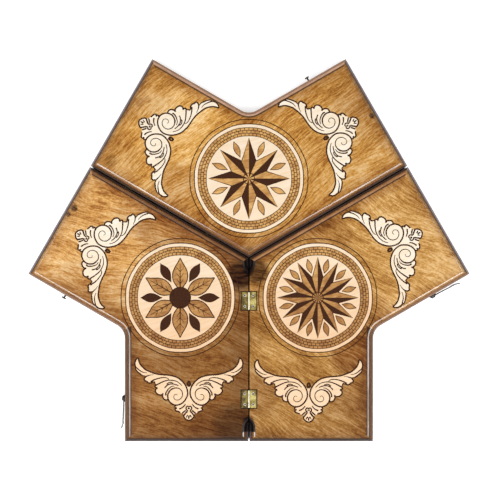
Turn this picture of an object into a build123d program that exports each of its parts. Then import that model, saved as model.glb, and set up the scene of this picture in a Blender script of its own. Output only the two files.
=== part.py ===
from build123d import *

import os
from math import asin, cos, degrees, radians, sin, tan

# A three-player backgammon board, open, with its playing side down. Three
# chevron shells meet at a hub, and a seam runs down the middle of each arm.
# All sizes are in millimetres.

# Plan of one shell, measured along an arm from the hub and across it from the seam
arm_reach = 263.0
half_arm = 178.0
seam_gap = 2.0
notch_radius = 22.0

# Heights and walls of one shell
cover_thickness = 9.5
rail_height = 22.0
rail_thickness = 12.0
field_thickness = 4.0
field_clearance = 0.2

# Routed edge: a small step, a convex quarter round and a flat ledge
step_depth = 1.6
round_radius = 5.8
ledge_width = 2.4
router_bearing_radius = 6.35
router_overrun = 12.0

# Where the routed edge stops along the hinged seam
stop_from_hub = 8.0
stop_from_end = 20.4

# Inlaid points
points_per_side = 6
point_length = 112.0
point_gap = 2.0
point_margin = 2.0
inlay_depth = 1.2

# Brass butt hinges
near_hinge_reach = 61.5
far_hinge_reach = 202.0
leaf_length = 25.0
leaf_width = 10.5
leaf_thickness = 1.2
barrel_radius = 1.5
pin_radius = 0.75
running_clearance = 0.05
centre_knuckle_length = 11.5
knuckle_clearance = 0.15
leaf_clearance = 0.15
pocket_clearance = 1.1
screw_from_end = 4.8
screw_from_axis = 5.9
screw_head_radius = 1.9
screw_head_slope = 1.1
screw_shank_radius = 0.8
flats_per_screw = 12
screw_clearance = 0.05
screw_length = 7.0

# Swing hooks and catch pins
latch_reach = 202.0
hook_plate_radius = 5.2
hook_plate_thickness = 1.6
hook_play = 0.1
hook_thickness = 1.4
hook_eye_radius = 4.2
hook_arm_width = 4.6
hook_end_radius = 2.1
hook_length = 43.0
hook_bend_reach = 11.0
hook_lift = 0.8
hook_tip_lift = 3.2
jaw_radius = 4.0
jaw_setback = 1.0
jaw_flat = 4.0
pivot_radius = 1.5
pivot_head_radius = 3.4
pivot_head_height = 1.5
pivot_head_slope = 0.9
catch_radius = 1.3
catch_clearance = 0.35
catch_standoff = 4.3
catch_head_radius = 3.5
catch_head_thickness = 1.7
catch_head_slope = 1.0
fastener_depth = 9.0

# The barrels of the rim hinges touch z = 0, so the rims stand just above it
axis_lift = barrel_radius - leaf_thickness
rim_z = barrel_radius + axis_lift
rail_top_z = rim_z + rail_height
face_z = rail_top_z + cover_thickness
field_z = rail_top_z - field_thickness
latch_z = (rim_z + face_z) / 2
latch_span = face_z - rim_z + 2 * axis_lift

arm_angle = 30.0
arm_cos, arm_sin, arm_tan = cos(radians(arm_angle)), sin(radians(arm_angle)), tan(radians(arm_angle))
up = Vector(0, 0, 1)

# The origin is on the floor under the middle of the whole board, so the hub lies off it
board_depth = arm_reach + arm_sin * arm_reach + arm_cos * half_arm
hub = Vector(0, arm_reach - board_depth / 2, 0)

# Each shell is the upper one turned about the hub. Its side 1 is the arm that heads
# 30 degrees before the turn, and its side -1 the arm that heads 150 degrees.
shell_angles = {"upper": 0, "left": 120, "right": 240}
arm_names = {30: "right", 150: "left", 270: "bottom"}
sides = (1, -1)

# Hinges on the decorated faces join left and right across the bottom arm, and
# hinges on the rims join left and upper across the left arm.
hinge_reaches = (near_hinge_reach, far_hinge_reach)
face_hinge_sides = {"left": -1, "right": 1}
rim_hinge_sides = {"left": 1, "upper": -1}


def arm_name(shell, side):
    return arm_names[(90 - 60 * side + shell_angles[shell]) % 360]


def shell_plane(shell, height):
    """Horizontal plane of a shell: origin at the hub, Y towards the notch."""
    turn = radians(shell_angles[shell])
    return Plane(origin=hub + up * height, x_dir=(cos(turn), sin(turn), 0), z_dir=(0, 0, 1))


def on_arm(side, along, across):
    """Point in a shell's plane, from a distance along an arm and across it."""
    return (side * (arm_cos * along - arm_sin * across), arm_sin * along + arm_cos * across)


def on_axis(across):
    """Point on a shell's centre line that is this far across both of its arms."""
    return (0, across / arm_cos)


def in_space(shell, side, along, across, height):
    return shell_plane(shell, height).from_local_coords(Vector(*on_arm(side, along, across)))


def along_arm(shell, side):
    return in_space(shell, side, 1, 0, 0) - hub


def across_arm(shell, side):
    return in_space(shell, side, 0, 1, 0) - hub


def chevron(inset):
    """Corners of a shell's outline, drawn in by the inset, in order round the shell."""
    seam, wall, end = seam_gap / 2 + inset, half_arm - inset, arm_reach - inset
    right_arm = [on_arm(1, end, seam), on_arm(1, end, wall)]
    left_arm = [on_arm(-1, end, wall), on_arm(-1, end, seam)]
    return [on_axis(seam), *right_arm, on_axis(wall), *left_arm]


def upright_plane(shell, side, along, across, into_wood):
    """Plane across an edge at face height: X into the wood, Y up."""
    origin = in_space(shell, side, along, across, face_z)
    return Plane(origin=origin, x_dir=into_wood, z_dir=into_wood.cross(up))


def hinge_plane(shell, side, along, on_rim):
    """Frame of a hinge leaf: X on the hinge's axis, Y over the leaf, Z off the wood."""
    outward = -up if on_rim else up
    height = rim_z - axis_lift if on_rim else face_z + axis_lift
    over_leaf = across_arm(shell, side)
    origin = in_space(shell, side, along, 0, height)
    return Plane(origin=origin, x_dir=over_leaf.cross(outward), z_dir=outward)


def wall_plane(shell, side):
    """Frame of a latch on an outer wall: X towards the arm's end, Z out of the wall."""
    origin = in_space(shell, side, latch_reach, half_arm, latch_z)
    return Plane(origin=origin, x_dir=along_arm(shell, side), z_dir=across_arm(shell, side))


os.makedirs("parts", exist_ok=True)

# Section that the router takes off: X into the wood from the edge, Y up from the face
ledge_depth = step_depth + round_radius
round_end = ledge_width + round_radius
with BuildSketch() as routed_section:
    with BuildLine():
        Polyline(
            (ledge_width, -ledge_depth),
            (-router_bearing_radius, -ledge_depth),
            (-router_bearing_radius, step_depth),
            (round_end, step_depth),
            (round_end, -step_depth),
        )
        CenterArc((round_end, -ledge_depth), round_radius, 90, 90)
    make_face()

# A countersunk wood screw with the middle of its head's face at the origin. Its head
# is as deep as a hinge leaf. It has flat sides and no thread, and so has its hole.
into_leaf = Plane(origin=(0, 0, 0), z_dir=(0, 0, -1))
with BuildPart() as wood_screw:
    with BuildSketch(into_leaf):
        RegularPolygon(screw_head_radius, flats_per_screw)
    extrude(amount=leaf_thickness)
    chamfer(wood_screw.edges().group_by(Axis.Z)[0], length=screw_head_slope)
    with BuildSketch(into_leaf):
        RegularPolygon(screw_shank_radius, flats_per_screw)
    extrude(amount=screw_length)

with BuildPart() as countersink:
    with BuildSketch(into_leaf):
        RegularPolygon(screw_head_radius + screw_clearance, flats_per_screw)
    extrude(amount=leaf_thickness)
    chamfer(countersink.edges().group_by(Axis.Z)[0], length=screw_head_slope)

# What a hinge leaf and its screws need cut out of the wood, in the hinge's frame
leaf_face = leaf_thickness - barrel_radius
screw_span = leaf_length / 2 - screw_from_end
screw_places = [(x, screw_from_axis, leaf_face) for x in (-screw_span, screw_span)]
pocket_width = leaf_width + pocket_clearance
with BuildPart() as leaf_pocket:
    with BuildSketch(Plane.XY.offset(-barrel_radius)):
        with Locations((0, pocket_width / 2)):
            Rectangle(leaf_length + 2 * pocket_clearance, pocket_width)
    extrude(amount=barrel_radius)
    with Locations(*screw_places):
        add(wood_screw.part)

# The two hinge leaves, in the hinge's frame. The side leaf has the two end knuckles
# and the centre leaf the one between them. The rolled section is a strip whose
# underside runs into the barrel.
half_centre = centre_knuckle_length / 2
end_knuckle_length = leaf_length / 2 - half_centre - knuckle_clearance
end_knuckle_middle = (leaf_length - end_knuckle_length) / 2
roll_start = degrees(asin(leaf_face / barrel_radius))
with BuildSketch() as rolled_section:
    with BuildLine():
        roll = CenterArc((0, 0), barrel_radius, roll_start, 270 - roll_start)
        Polyline(roll @ 1, (leaf_width, -barrel_radius), (leaf_width, leaf_face), roll @ 0)
    make_face()


def knuckled_leaf(knuckles):
    """A leaf with knuckles at these middles and lengths along the hinge's axis."""
    plate_start = barrel_radius + leaf_clearance
    with BuildPart() as leaf:
        with BuildSketch(Plane.XY.offset(-barrel_radius)):
            with Locations((0, (plate_start + leaf_width) / 2)):
                Rectangle(leaf_length, leaf_width - plate_start)
        extrude(amount=leaf_thickness)
        for middle, length in knuckles:
            with BuildSketch(Plane.YZ.offset(middle)):
                add(rolled_section.sketch)
            extrude(amount=length / 2, both=True)
        with BuildSketch(Plane.YZ):
            Circle(pin_radius + running_clearance)
        extrude(amount=leaf_length, both=True, mode=Mode.SUBTRACT)
        with Locations(*screw_places):
            add(countersink.part, mode=Mode.SUBTRACT)
    return leaf.part


side_leaf = knuckled_leaf([(-end_knuckle_middle, end_knuckle_length), (end_knuckle_middle, end_knuckle_length)])
centre_leaf = knuckled_leaf([(0, centre_knuckle_length)])

# The three shells: a plywood cover with a routed edge over a tray of mitred rails
notch_tangent = notch_radius * arm_tan
straight_start = half_arm * arm_tan + notch_tangent
notch_centre = on_axis(half_arm + notch_radius)
notch_middle = (0, notch_centre[1] - notch_radius)
latches = {("left", -1), ("left", 1), ("right", -1), ("upper", 1)}
hooked = {("left", -1), ("right", -1)}

for shell in shell_angles:
    hinge_planes = {
        on_rim: [
            hinge_plane(shell, hinge_sides[shell], reach, on_rim) for reach in hinge_reaches if shell in hinge_sides
        ]
        for hinge_sides, on_rim in ((face_hinge_sides, False), (rim_hinge_sides, True))
    }

    with BuildPart() as cover:
        with BuildSketch(shell_plane(shell, rail_top_z)) as outline:
            Polygon(*chevron(0), align=None)
            on_centre_line = outline.vertices().filter_by_position(Axis.X, -1, 1)
            fillet(on_centre_line.sort_by(Axis.Y)[-1], radius=notch_radius)
        extrude(amount=cover_thickness)

        # Straight router passes: along the arm's end, along its outer wall and along
        # its seam, where a hinged seam has a pass at each end only
        for side in sides:
            inward = across_arm(shell, side)
            seam_passes = [(-router_overrun, arm_reach + router_overrun)]
            stops = []
            if face_hinge_sides.get(shell) == side:
                stops = [stop_from_hub, arm_reach - stop_from_end]
                seam_passes = [(-router_overrun, stops[0]), (stops[1], arm_reach + router_overrun)]
            end_pass = upright_plane(shell, side, arm_reach, half_arm / 2, -along_arm(shell, side))
            wall_length = arm_reach + router_overrun - straight_start
            wall_pass = upright_plane(shell, side, straight_start + wall_length / 2, half_arm, -inward)
            passes = [(end_pass, half_arm + 2 * router_overrun), (wall_pass, wall_length)]
            for start, end in seam_passes:
                seam_pass = upright_plane(shell, side, (start + end) / 2, seam_gap / 2, inward)
                passes.append((seam_pass, end - start))
            for pass_plane, length in passes:
                with BuildSketch(pass_plane):
                    add(routed_section.sketch)
                extrude(amount=length / 2, both=True, mode=Mode.SUBTRACT)

            # The round end of a stopped pass, turned about the router's own axis
            for stop in stops:
                bit_plane = upright_plane(shell, side, stop, seam_gap / 2 - router_bearing_radius, inward)
                with BuildSketch(bit_plane):
                    with Locations((router_bearing_radius, 0)):
                        add(routed_section.sketch)
                revolve(axis=Axis(bit_plane.origin, up), mode=Mode.SUBTRACT)

        # The router's way round the notch
        notch_origin = shell_plane(shell, face_z).from_local_coords(Vector(*notch_centre))
        into_notch = -across_arm(shell, -1)
        with BuildSketch(Plane(origin=notch_origin, x_dir=into_notch, z_dir=into_notch.cross(up))):
            with Locations((notch_radius, 0)):
                add(routed_section.sketch)
        revolve(axis=Axis(notch_origin, up), revolution_arc=2 * arm_angle, mode=Mode.SUBTRACT)

        if hinge_planes[False]:
            with Locations(*hinge_planes[False]):
                add(leaf_pocket.part, mode=Mode.SUBTRACT)
    cover.part.label = f"{shell}_cover"
    export_step(cover.part, f"parts/{shell}_cover.step")

    outer, inner = chevron(0), chevron(rail_thickness)
    for side in sides:
        arm = arm_name(shell, side)
        corners = (0, 1, 2) if side == 1 else (0, 5, 4)
        hub_corner, seam_corner, wall_corner = [(outer[i], inner[i]) for i in corners]

        with BuildPart() as seam_rail:
            with BuildSketch(shell_plane(shell, rim_z)):
                Polygon(*hub_corner, *reversed(seam_corner), align=None)
            extrude(amount=rail_height)
            if hinge_planes[True] and rim_hinge_sides[shell] == side:
                with Locations(*hinge_planes[True]):
                    add(leaf_pocket.part, mode=Mode.SUBTRACT)
        seam_rail.part.label = f"{shell}_seam_rail_{arm}"
        export_step(seam_rail.part, f"parts/{shell}_seam_rail_{arm}.step")

        with BuildPart() as end_rail:
            with BuildSketch(shell_plane(shell, rim_z)):
                Polygon(*seam_corner, *reversed(wall_corner), align=None)
            extrude(amount=rail_height)
        end_rail.part.label = f"{shell}_end_rail_{arm}"
        export_step(end_rail.part, f"parts/{shell}_end_rail_{arm}.step")

        block_end = [on_arm(side, straight_start, half_arm - depth) for depth in (0, rail_thickness)]
        with BuildPart() as side_rail:
            with BuildSketch(shell_plane(shell, rim_z)):
                Polygon(*wall_corner, *reversed(block_end), align=None)
            extrude(amount=rail_height)
            if (shell, side) in latches:
                pilot_radius = pivot_radius if (shell, side) in hooked else catch_radius
                with BuildSketch(wall_plane(shell, side)):
                    Circle(pilot_radius)
                extrude(amount=-fastener_depth, mode=Mode.SUBTRACT)
        side_rail.part.label = f"{shell}_side_rail_{arm}"
        export_step(side_rail.part, f"parts/{shell}_side_rail_{arm}.step")

    # The block that turns the outer wall round the notch
    with BuildPart() as notch_block:
        with BuildSketch(shell_plane(shell, rim_z)):
            with BuildLine():
                hollow = ThreePointArc(
                    on_arm(1, straight_start, half_arm), notch_middle, on_arm(-1, straight_start, half_arm)
                )
                Polyline(
                    hollow @ 1,
                    on_arm(-1, straight_start, half_arm - rail_thickness),
                    inner[3],
                    on_arm(1, straight_start, half_arm - rail_thickness),
                    hollow @ 0,
                )
            make_face()
        extrude(amount=rail_height)
    notch_block.part.label = f"{shell}_notch_block"
    export_step(notch_block.part, f"parts/{shell}_notch_block.step")

    # Long triangles with their bases along the outer walls, dark and light in turn.
    # They share the wall's length between the tray's inner corner and its end.
    point_base = half_arm - rail_thickness - field_clearance
    point_start = point_base * arm_tan + point_margin
    point_end = arm_reach - rail_thickness - field_clearance - point_margin
    point_pitch = (point_end - point_start) / points_per_side
    point_width = point_pitch - point_gap
    triangles = {"dark": [], "light": []}
    for side in sides:
        for count in range(points_per_side):
            middle = point_end - (count + 0.5) * point_pitch
            shade = "dark" if (count + (side == 1)) % 2 else "light"
            triangles[shade].append(
                [
                    on_arm(side, middle - point_width / 2, point_base),
                    on_arm(side, middle, point_base - point_length),
                    on_arm(side, middle + point_width / 2, point_base),
                ]
            )

    for shade, corner_lists in triangles.items():
        with BuildPart() as points:
            with BuildSketch(shell_plane(shell, field_z)):
                for corner_list in corner_lists:
                    Polygon(*corner_list, align=None)
            extrude(amount=inlay_depth)
        points.part.label = f"{shell}_{shade}_points"
        export_step(points.part, f"parts/{shell}_{shade}_points.step")

    with BuildPart() as field:
        with BuildSketch(shell_plane(shell, field_z)):
            Polygon(*chevron(rail_thickness + field_clearance), align=None)
        extrude(amount=field_thickness)
        with BuildSketch(shell_plane(shell, field_z)):
            for corner_list in triangles["dark"] + triangles["light"]:
                Polygon(*corner_list, align=None)
        extrude(amount=inlay_depth, mode=Mode.SUBTRACT)
    field.part.label = f"{shell}_field"
    export_step(field.part, f"parts/{shell}_field.step")

# The leaves and screws of each hinge pair, and its pins, which stay with the left shell
for place, hinge_sides in (("face", face_hinge_sides), ("rim", rim_hinge_sides)):
    for shell, side in hinge_sides.items():
        planes = [hinge_plane(shell, side, reach, place == "rim") for reach in hinge_reaches]
        with BuildPart() as leaves:
            with Locations(*planes):
                add(side_leaf if shell == "left" else centre_leaf)
        leaves.part.label = f"{place}_hinge_leaves_{shell}"
        export_step(leaves.part, f"parts/{place}_hinge_leaves_{shell}.step")

        with BuildPart() as screws:
            for plane in planes:
                with Locations(*[plane * Location(spot) for spot in screw_places]):
                    add(wood_screw.part)
        screws.part.label = f"{place}_hinge_screws_{shell}"
        export_step(screws.part, f"parts/{place}_hinge_screws_{shell}.step")

    with BuildPart() as pins:
        for reach in hinge_reaches:
            axis_plane = hinge_plane("left", hinge_sides["left"], reach, place == "rim")
            with BuildSketch(Plane(origin=axis_plane.origin, z_dir=axis_plane.x_dir)):
                Circle(pin_radius)
            extrude(amount=leaf_length / 2, both=True)
    pins.part.label = f"{place}_hinge_pins"
    export_step(pins.part, f"parts/{place}_hinge_pins.step")

# Swing hooks. In a latch's frame the hook's strip lies along X, off the wall, and
# its jaw opens towards the side that it swings to: down to the rims on the left
# shell, up to the decorated face on the right one.
strip_z = hook_plate_thickness + hook_play
strip_bottom = [
    (-hook_eye_radius, strip_z),
    (hook_bend_reach, strip_z),
    (latch_span - jaw_flat, strip_z + hook_lift),
    (latch_span + jaw_flat, strip_z + hook_lift),
    (hook_length, strip_z + hook_tip_lift),
]
strip_top = [(x, z + hook_thickness) for x, z in reversed(strip_bottom)]
jaw_gap = catch_radius + catch_clearance
head_z = strip_z + hook_thickness + hook_play
for shell, opening in (("left", -1), ("right", 1)):
    latch = wall_plane(shell, -1)
    with BuildPart() as hook:
        with BuildSketch(latch):
            Circle(hook_eye_radius)
            with Locations((hook_length / 2, 0)):
                RectangleRounded(hook_length, hook_arm_width, hook_end_radius)
            with Locations((latch_span, -opening * jaw_setback)):
                Circle(jaw_radius)
            Circle(pivot_radius + running_clearance, mode=Mode.SUBTRACT)
            with Locations((latch_span, 0)):
                Circle(jaw_gap, mode=Mode.SUBTRACT)
            with Locations((latch_span, opening * jaw_radius / 2)):
                Rectangle(2 * jaw_gap, jaw_radius, mode=Mode.SUBTRACT)
        extrude(amount=strip_z + hook_tip_lift + hook_thickness)
        with BuildSketch(Plane(origin=latch.origin, x_dir=latch.x_dir, z_dir=-latch.y_dir)):
            Polygon(*strip_bottom, *strip_top, align=None)
        extrude(amount=2 * jaw_radius, both=True, mode=Mode.INTERSECT)
    hook.part.label = f"{shell}_hook"
    export_step(hook.part, f"parts/{shell}_hook.step")

    with BuildPart() as hook_plate:
        with BuildSketch(latch):
            Circle(hook_plate_radius)
            Circle(pivot_radius + running_clearance, mode=Mode.SUBTRACT)
        extrude(amount=hook_plate_thickness)
    hook_plate.part.label = f"{shell}_hook_plate"
    export_step(hook_plate.part, f"parts/{shell}_hook_plate.step")

    with BuildPart() as pivot_screw:
        with BuildSketch(latch.offset(-fastener_depth)):
            Circle(pivot_radius)
        extrude(amount=fastener_depth + head_z)
        with BuildSketch(latch.offset(head_z)):
            Circle(pivot_head_radius)
        extrude(amount=pivot_head_height)
        crown = pivot_screw.edges().group_by(Axis(latch.origin, latch.z_dir))[-1]
        chamfer(crown, length=pivot_head_slope)
    pivot_screw.part.label = f"{shell}_hook_screw"
    export_step(pivot_screw.part, f"parts/{shell}_hook_screw.step")

# Mushroom-headed catch pins
for shell in ("left", "upper"):
    latch = wall_plane(shell, 1)
    with BuildPart() as catch_pin:
        with BuildSketch(latch.offset(-fastener_depth)):
            Circle(catch_radius)
        extrude(amount=fastener_depth + catch_standoff)
        with BuildSketch(latch.offset(catch_standoff)):
            Circle(catch_head_radius)
        extrude(amount=catch_head_thickness)
        crown = catch_pin.edges().group_by(Axis(latch.origin, latch.z_dir))[-1]
        chamfer(crown, length=catch_head_slope)
    catch_pin.part.label = f"{shell}_catch_pin"
    export_step(catch_pin.part, f"parts/{shell}_catch_pin.step")
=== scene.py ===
from math import cos, pi, radians, sin

import bmesh
import bpy
from mathutils import Matrix, Vector


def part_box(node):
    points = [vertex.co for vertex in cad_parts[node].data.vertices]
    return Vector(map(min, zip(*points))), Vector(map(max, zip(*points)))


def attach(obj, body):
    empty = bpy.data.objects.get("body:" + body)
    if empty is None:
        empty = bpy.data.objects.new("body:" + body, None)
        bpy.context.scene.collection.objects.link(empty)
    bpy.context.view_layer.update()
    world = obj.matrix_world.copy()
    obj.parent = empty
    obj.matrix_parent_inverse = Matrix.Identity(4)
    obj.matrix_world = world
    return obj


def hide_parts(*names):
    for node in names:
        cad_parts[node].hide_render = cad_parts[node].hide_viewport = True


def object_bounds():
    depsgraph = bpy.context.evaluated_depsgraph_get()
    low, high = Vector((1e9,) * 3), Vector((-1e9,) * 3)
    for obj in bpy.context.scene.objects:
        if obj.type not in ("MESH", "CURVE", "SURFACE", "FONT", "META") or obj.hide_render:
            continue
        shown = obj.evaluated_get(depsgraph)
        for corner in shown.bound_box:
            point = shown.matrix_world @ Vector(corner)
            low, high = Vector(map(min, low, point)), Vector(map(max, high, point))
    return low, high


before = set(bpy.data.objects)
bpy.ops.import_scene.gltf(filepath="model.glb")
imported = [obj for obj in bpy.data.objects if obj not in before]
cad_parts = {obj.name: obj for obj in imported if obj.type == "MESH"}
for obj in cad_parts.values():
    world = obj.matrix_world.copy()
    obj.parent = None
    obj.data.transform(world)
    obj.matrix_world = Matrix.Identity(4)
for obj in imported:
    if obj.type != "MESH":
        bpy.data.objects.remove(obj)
cad_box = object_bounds()

# Studio: the board lies open on a white table under a camera that looks straight down.
# Soft boxes hang left and right of it, a little towards the bottom, and a dim panel above.
# The world is white to the camera and dim to all else.
board_top = cad_box[1].z
table_size = 6.0
shade_reach, table_glow = 0.02, 0.54
room_dimness = 0.2
camera_rise = 2.4
view_width = 0.715
view_middle = Vector((0.0015, 0.0001, 0.0))

camera_data = bpy.data.cameras.new("overhead_camera")
camera_data.sensor_width = 36.0
camera_data.lens = camera_data.sensor_width * camera_rise / view_width
camera_data.clip_end = 20.0
camera = bpy.data.objects.new("overhead_camera", camera_data)
camera.location = view_middle + Vector((0, 0, board_top + camera_rise))
bpy.context.scene.collection.objects.link(camera)
bpy.context.scene.camera = camera
bpy.context.scene.view_settings.view_transform = "Standard"


def add_node(tree, kind, inputs, **settings):
    """A new node with its settings, and its inputs set to values or linked to sockets."""
    made = tree.nodes.new(kind)
    for key, value in settings.items():
        setattr(made, key, value)
    for key, value in inputs.items():
        if isinstance(value, bpy.types.NodeSocket):
            tree.links.new(value, made.inputs[key])
        else:
            made.inputs[key].default_value = value
    return made


def table_finish():
    """Matt white table, seen as plain white in the open; ambient occlusion darkens its colour and
    its glow as painted shade under the board and beside its walls.
    """
    material = bpy.data.materials.new("white_table")
    material.use_nodes = True
    tree = material.node_tree
    tree.nodes.clear()
    inputs = {"Distance": shade_reach}
    air = add_node(tree, "ShaderNodeAmbientOcclusion", inputs, samples=24).outputs["AO"]
    inputs = {"Value": air, "From Min": 0.2, "From Max": 0.42}
    shade = add_node(tree, "ShaderNodeMapRange", inputs).outputs["Result"]
    # Painted shade: the table's colour darkens where ambient occlusion finds the board close
    inputs = {"Value": shade, "To Min": 0.02, "To Max": 0.88}
    shaded_white = add_node(tree, "ShaderNodeMapRange", inputs).outputs["Result"]
    matt = add_node(tree, "ShaderNodeBsdfDiffuse", {"Color": shaded_white})
    seen = add_node(tree, "ShaderNodeLightPath", {}).outputs["Is Camera Ray"]
    lift = add_node(tree, "ShaderNodeMath", {0: seen, 1: shade}, operation="MULTIPLY").outputs[0]
    inputs = {0: lift, 1: table_glow}
    lift = add_node(tree, "ShaderNodeMath", inputs, operation="MULTIPLY").outputs[0]
    glow = add_node(tree, "ShaderNodeEmission", {"Color": (1, 1, 1, 1), "Strength": lift})
    both = add_node(tree, "ShaderNodeAddShader", {0: matt.outputs[0], 1: glow.outputs[0]})
    add_node(tree, "ShaderNodeOutputMaterial", {"Surface": both.outputs[0]})
    return material


table_mesh = bmesh.new()
bmesh.ops.create_grid(table_mesh, x_segments=1, y_segments=1, size=table_size / 2)
table_data = bpy.data.meshes.new("table")
table_mesh.to_mesh(table_data)
table_mesh.free()
table_data.materials.append(table_finish())
table = bpy.data.objects.new("table", table_data)
bpy.context.scene.collection.objects.link(table)

world = bpy.data.worlds.new("studio")
world.use_nodes = True
bpy.context.scene.world = world
room = world.node_tree.nodes["Background"]
rays = add_node(world.node_tree, "ShaderNodeLightPath", {})
inputs = {0: rays.outputs["Is Camera Ray"], 1: rays.outputs["Is Transmission Ray"]}
white_for = add_node(world.node_tree, "ShaderNodeMath", inputs, operation="MAXIMUM")
inputs = {"Value": white_for.outputs[0], "To Min": room_dimness}
room_level = add_node(world.node_tree, "ShaderNodeMapRange", inputs)
room.inputs["Color"].default_value = (1, 1, 1, 1)
world.node_tree.links.new(room_level.outputs["Result"], room.inputs["Strength"])


def soft_box(name, place, width, height, power):
    """A rectangular soft box that faces the board."""
    data = bpy.data.lights.new(name, "AREA")
    data.shape = "RECTANGLE"
    data.size = width
    data.size_y = height
    data.energy = power
    light = bpy.data.objects.new(name, data)
    light.location = place
    light.rotation_euler = (-Vector(place)).to_track_quat("-Z", "Y").to_euler()
    light.visible_camera = False
    bpy.context.scene.collection.objects.link(light)
    return light


soft_box("left_soft_box", (-0.84, -0.36, 1.55), 1.3, 0.85, 17)
soft_box("right_soft_box", (0.84, -0.36, 1.55), 1.3, 0.85, 17)
soft_box("overhead_panel", (0.0, 0.9, 3.2), 1.6, 1.6, 12).visible_glossy = False

# Stained birch ply: each shell's cover is one sheet of rotary-cut birch with a flamed figure,
# under a golden-brown stain that runs darker in patches and towards the edges. The routed
# edge below the panel is stained a dark reddish brown and lacquered; over that its round and
# ledge get painted light and shade by the way each faces, and painted shade darkens its pockets.
board_low = cad_box[0]
arm_reach = 0.263
half_arm = -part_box("left_end_rail_bottom")[0].x
arm_slope = radians(30)
hub = Vector((0, board_low.y + arm_reach, 0))
face_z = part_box("upper_cover")[1].z
shell_turns = {"upper": 0, "left": 120, "right": 240}
plain_seams = {"left": -1, "right": 1}
step_depth, round_radius = 0.0016, 0.0058
ledge_depth = step_depth + round_radius
hinge_reaches = (0.0615, 0.202)
leaf_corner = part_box("face_hinge_leaves_right")[1] - hub + Vector((0, hinge_reaches[0], 0))
run_outs = (((0.0, -0.0265), 0.016), ((0.0, -0.2425), 0.0115))


def arith(tree, operation, first, second=0.0):
    return add_node(tree, "ShaderNodeMath", {0: first, 1: second}, operation=operation).outputs[0]


def times(tree, first, second):
    return arith(tree, "MULTIPLY", first, second)


def plus(tree, first, second):
    return arith(tree, "ADD", first, second)


def minus(tree, first, second):
    return arith(tree, "SUBTRACT", first, second)


def inverse(tree, value):
    return minus(tree, 1.0, value)


def fade(tree, value, start, end, low=0.0, high=1.0):
    """Goes smoothly from low to high as the value goes from start to end."""
    inputs = {"Value": value, "From Min": start, "From Max": end, "To Min": low, "To Max": high}
    made = add_node(tree, "ShaderNodeMapRange", inputs, interpolation_type="SMOOTHSTEP")
    return made.outputs["Result"]


def rescale(tree, value, start, end, low=0.0, high=1.0):
    """Goes straight from low to high as the value goes from start to end."""
    inputs = {"Value": value, "From Min": start, "From Max": end, "To Min": low, "To Max": high}
    return add_node(tree, "ShaderNodeMapRange", inputs).outputs["Result"]


def axes(tree, vector):
    return add_node(tree, "ShaderNodeSeparateXYZ", {"Vector": vector}).outputs


def noise(tree, vector, scale, detail=3.0, roughness=0.5):
    inputs = {"Vector": vector, "Scale": scale, "Detail": detail, "Roughness": roughness}
    return add_node(tree, "ShaderNodeTexNoise", inputs).outputs["Fac"]


def stretched(tree, vector, turn, scale, offset=(0, 0, 0)):
    """Coordinates turned by an angle in degrees and then scaled, so that a pattern runs along
    the grain."""
    inputs = {"Vector": vector, "Rotation": (0, 0, radians(-turn)), "Location": offset}
    turned = add_node(tree, "ShaderNodeMapping", inputs).outputs[0]
    return add_node(tree, "ShaderNodeMapping", {"Vector": turned, "Scale": scale}).outputs[0]


def shades(tree, value, stops):
    """A colour ramp through (place, colour) stops."""
    ramp = add_node(tree, "ShaderNodeValToRGB", {"Fac": value})
    band = ramp.color_ramp
    while len(band.elements) < len(stops):
        band.elements.new(1.0)
    for element, (place, colour) in zip(band.elements, stops):
        element.position = place
        element.color = (*colour, 1)
    return ramp.outputs["Color"]


def blend(tree, amount, first, second, kind="MIX"):
    """Mixes two colours, and each may be a socket or plain numbers."""
    mix = add_node(tree, "ShaderNodeMix", {0: amount}, data_type="RGBA", blend_type=kind)
    for socket, colour in ((mix.inputs[6], first), (mix.inputs[7], second)):
        if isinstance(colour, bpy.types.NodeSocket):
            tree.links.new(colour, socket)
        else:
            socket.default_value = (*colour, 1)
    return mix.outputs[2]


def finish_material(name, roughness, coat=0.0, coat_roughness=0.1, metallic=0.0, specular=0.5):
    """A material with its tree, its shader and its object coordinates."""
    material = bpy.data.materials.new(name)
    material.use_nodes = True
    tree = material.node_tree
    shader = tree.nodes["Principled BSDF"]
    shader.inputs["Roughness"].default_value = roughness
    shader.inputs["Coat Weight"].default_value = coat
    shader.inputs["Coat Roughness"].default_value = coat_roughness
    shader.inputs["Metallic"].default_value = metallic
    shader.inputs["Specular IOR Level"].default_value = specular
    place = add_node(tree, "ShaderNodeTexCoord", {}).outputs["Object"]
    return material, tree, shader, place


def emboss(tree, shader, height, distance, strength=1.0):
    inputs = {"Height": height, "Distance": distance, "Strength": strength}
    bump = add_node(tree, "ShaderNodeBump", inputs)
    tree.links.new(bump.outputs[0], shader.inputs["Normal"])


def in_shell(tree, place, shell):
    """Coordinates of a shell: from the board's hub, with Y towards the notch."""
    inputs = {"Vector": place, "Location": hub, "Rotation": (0, 0, radians(shell_turns[shell]))}
    return add_node(tree, "ShaderNodeMapping", inputs, vector_type="TEXTURE").outputs[0]


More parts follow.
